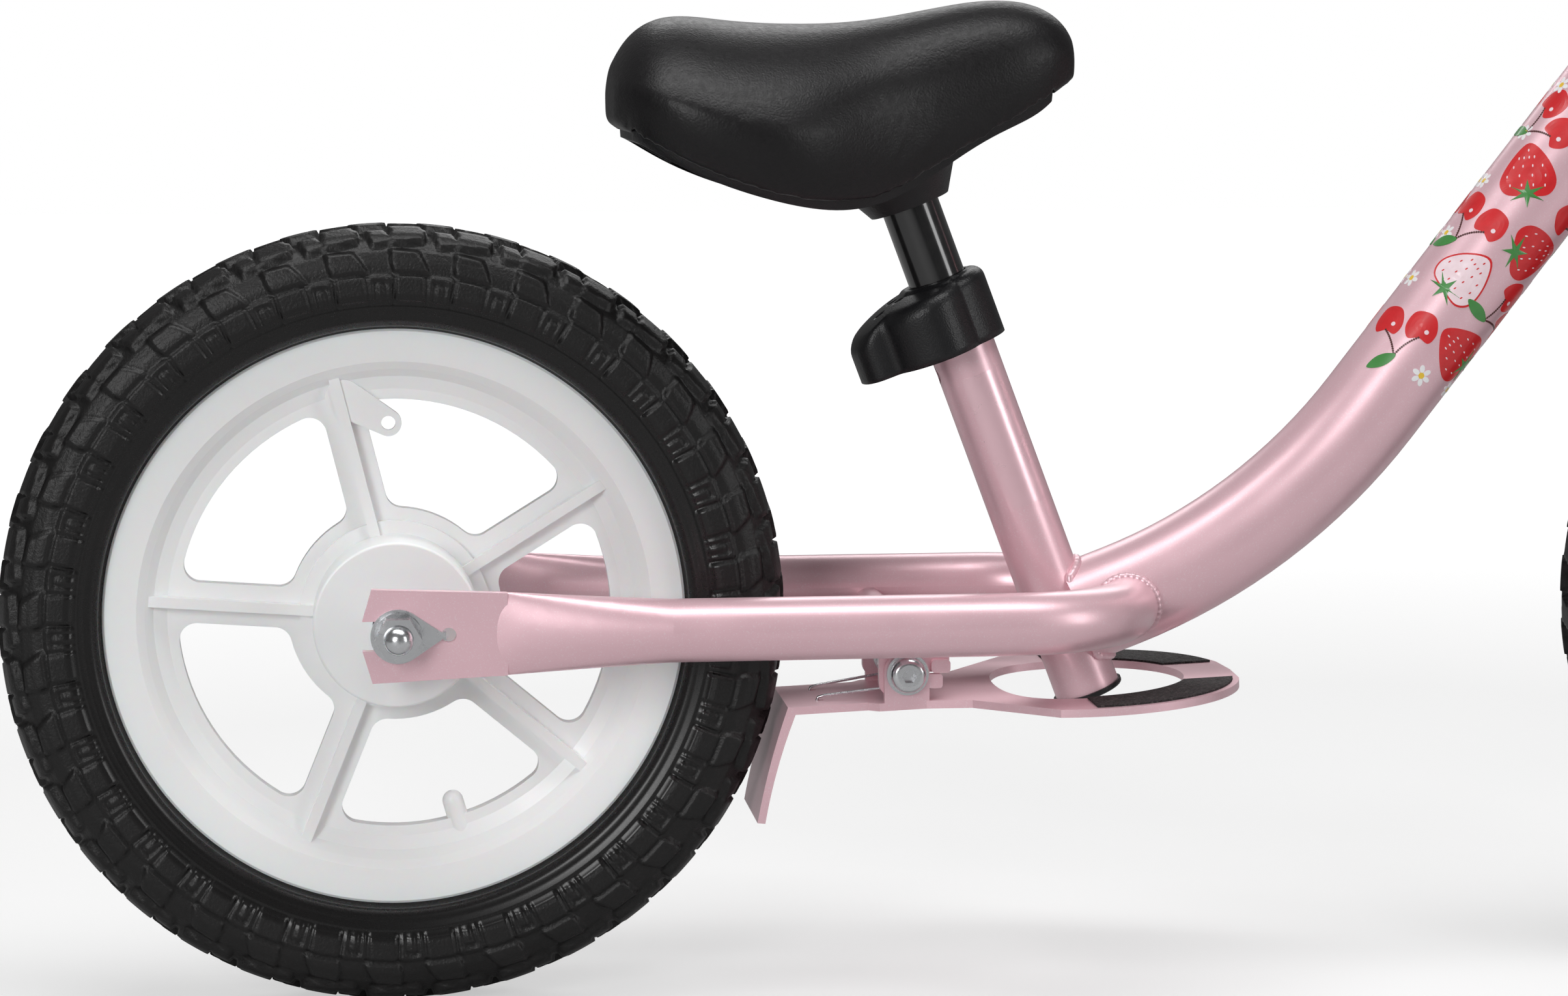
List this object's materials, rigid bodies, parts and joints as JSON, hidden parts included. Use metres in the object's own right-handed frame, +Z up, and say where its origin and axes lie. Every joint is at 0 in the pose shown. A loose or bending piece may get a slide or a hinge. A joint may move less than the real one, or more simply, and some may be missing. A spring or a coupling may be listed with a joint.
{
  "type": "balance bike",
  "caption": "Child's balance bike with a curved steel frame, foam tyres on moulded spoked wheels, padded saddle, steerable fork and a sprung foot brake on the rear tyre.",
  "frame": {"origin": "on the ground, midway between the two axles", "axes": "+X forward, +Z up, +Y to the rider's left"},
  "size_m": [0.904, 0.462, 0.577],
  "materials": {
    "pink_paint": "satin",
    "black_plastic": "satin",
    "black_paint": "gloss",
    "saddle_skin": "satin",
    "grip_rubber": "matte",
    "grip_tape": "matte",
    "wheel_plastic": "satin",
    "tyre_foam": "satin",
    "zinc_steel": "satin"
  },
  "bodies": {
    "frame": {"seat_tube": "pink_paint", "seat_tube_plug": "black_plastic", "main_tube": "pink_paint", "head_tube": "pink_paint", "right_stay": "pink_paint", "left_stay": "pink_paint", "brake_bracket": "pink_paint", "pivot_bolt": "zinc_steel", "pivot_washers": "zinc_steel", "pivot_nut": "zinc_steel", "pivot_sleeve": "zinc_steel", "brake_spring": "zinc_steel", "clamp_band": "black_paint", "clamp_bolt": "zinc_steel", "clamp_nut": "zinc_steel", "clamp_cover": "black_plastic", "headset_cups": "zinc_steel", "rear_bearing_inner_races": "zinc_steel", "rear_bearing_balls": "zinc_steel", "rear_axle": "zinc_steel", "rear_axle_spacers": "zinc_steel", "rear_axle_locknuts": "zinc_steel", "rear_tab_washers": "zinc_steel", "rear_axle_nuts": "zinc_steel"},
    "rear_wheel": {"rear_wheel": "wheel_plastic", "rear_tyre": "tyre_foam", "rear_hub_caps": "wheel_plastic", "rear_bearing_outer_races": "zinc_steel"},
    "brake_lever": {"brake_lever": "pink_paint", "pedal_pads": "grip_tape"},
    "saddle": {"seat_post": "black_paint", "saddle_base": "black_plastic", "saddle_cover": "saddle_skin"},
    "fork": {"fork_legs": "pink_paint", "fork_steerer": "pink_paint", "crown_race": "zinc_steel", "headset_bearings": "zinc_steel", "headset_cone": "zinc_steel", "headset_locknut": "zinc_steel", "front_bearing_inner_races": "zinc_steel", "front_bearing_balls": "zinc_steel", "front_axle": "zinc_steel", "front_axle_spacers": "zinc_steel", "front_axle_locknuts": "zinc_steel", "front_tab_washers": "zinc_steel", "front_axle_nuts": "zinc_steel"},
    "front_wheel": {"front_wheel": "wheel_plastic", "front_tyre": "tyre_foam", "front_hub_caps": "wheel_plastic", "front_bearing_outer_races": "zinc_steel"},
    "handlebar": {"stem": "black_paint", "stem_bolt": "zinc_steel", "stem_wedge": "zinc_steel", "bar_clamp_bolt": "zinc_steel", "bar_clamp_nut": "zinc_steel", "handlebar": "black_paint", "grips": "grip_rubber"}
  },
  "joints": [
    {"name": "rear_wheel_spin", "type": "hinge", "parent": "frame", "child": "rear_wheel", "pos_m": [-0.304, 0, 0.148], "axis": [0, 1, 0], "continuous": true},
    {"name": "steering", "type": "hinge", "parent": "frame", "child": "fork", "pos_m": [0.28066, 0, 0.13904], "axis": [-0.3584, 0, 0.9336], "range_deg": [-90, 90]},
    {"name": "front_wheel_spin", "type": "hinge", "parent": "fork", "child": "front_wheel", "pos_m": [0.304, 0, 0.148], "axis": [0, 1, 0], "continuous": true},
    {"name": "handlebar_height", "type": "slide", "parent": "fork", "child": "handlebar", "axis": [-0.3584, 0, 0.9336], "range_m": [-0.02, 0.03]},
    {"name": "saddle_height", "type": "slide", "parent": "frame", "child": "saddle", "axis": [-0.3518, 0, 0.9361], "range_m": [-0.025, 0.05]},
    {"name": "brake_pedal", "type": "hinge", "parent": "frame", "child": "brake_lever", "pos_m": [-0.1114, 0, 0.1252], "axis": [0, 1, 0], "range_deg": [0, 3.5], "stiffness_Nm_per_rad": 3, "springref_deg": -14.32, "deforming": ["brake_spring"]}
  ]
}
